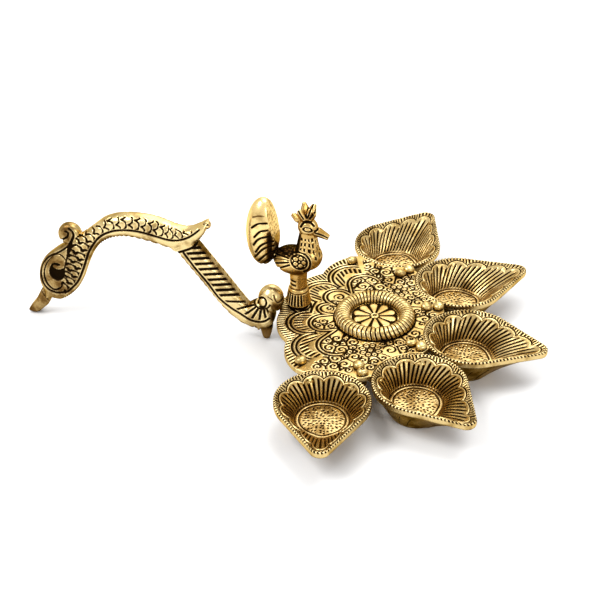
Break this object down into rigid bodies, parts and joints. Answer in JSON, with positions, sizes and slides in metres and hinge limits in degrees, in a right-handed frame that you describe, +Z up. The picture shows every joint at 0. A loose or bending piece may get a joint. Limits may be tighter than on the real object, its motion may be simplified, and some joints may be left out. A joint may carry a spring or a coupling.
{
  "type": "aarti lamp",
  "caption": "Cast-metal ritual lamp: a lobed engraved plate with a fan of leaf-shaped wick bowls, a rope ring, a peacock on a pedestal and a swan-necked carrying handle.",
  "frame": {"origin": "on the table under the middle of the lamp's bounding box", "axes": "+X towards the middle bowl, away from the handle; +Z up; +Y to the left when looking along +X"},
  "size_m": [0.2768, 0.223, 0.0809],
  "materials": {
    "engraved_plate": "gold plated, black oxide in the engraving",
    "cast_ornament": "gold plated, black oxide in the recesses",
    "cast_handle": "gold plated, polished crests, black oxide in the grooves",
    "cast_bowl": "gold plated, black oxide between the flutes",
    "rivet_metal": "gold plated, polished",
    "dark_foot": "brown oxide, satin",
    "plain_steel": "plain turned"
  },
  "bodies": {
    "lamp": {"plate": "engraved_plate", "rope_ring": "cast_ornament", "rosette": "cast_ornament", "rosette_rivet": "rivet_metal", "bowl_rivets": "rivet_metal", "handle": "cast_handle", "handle_foot": "dark_foot", "bowl_1": "cast_bowl", "bowl_2": "cast_bowl", "bowl_3": "cast_bowl", "bowl_4": "cast_bowl", "bowl_5": "cast_bowl"},
    "bird": {"peacock": "cast_ornament", "peacock_screw": "plain_steel", "peacock_washer": "plain_steel"}
  },
  "joints": [
    {"name": "peacock_swivel", "type": "hinge", "parent": "lamp", "child": "bird", "pos_m": [0.00774, -0.00005, 0.02], "axis": [0, 0, 1], "continuous": true}
  ]
}
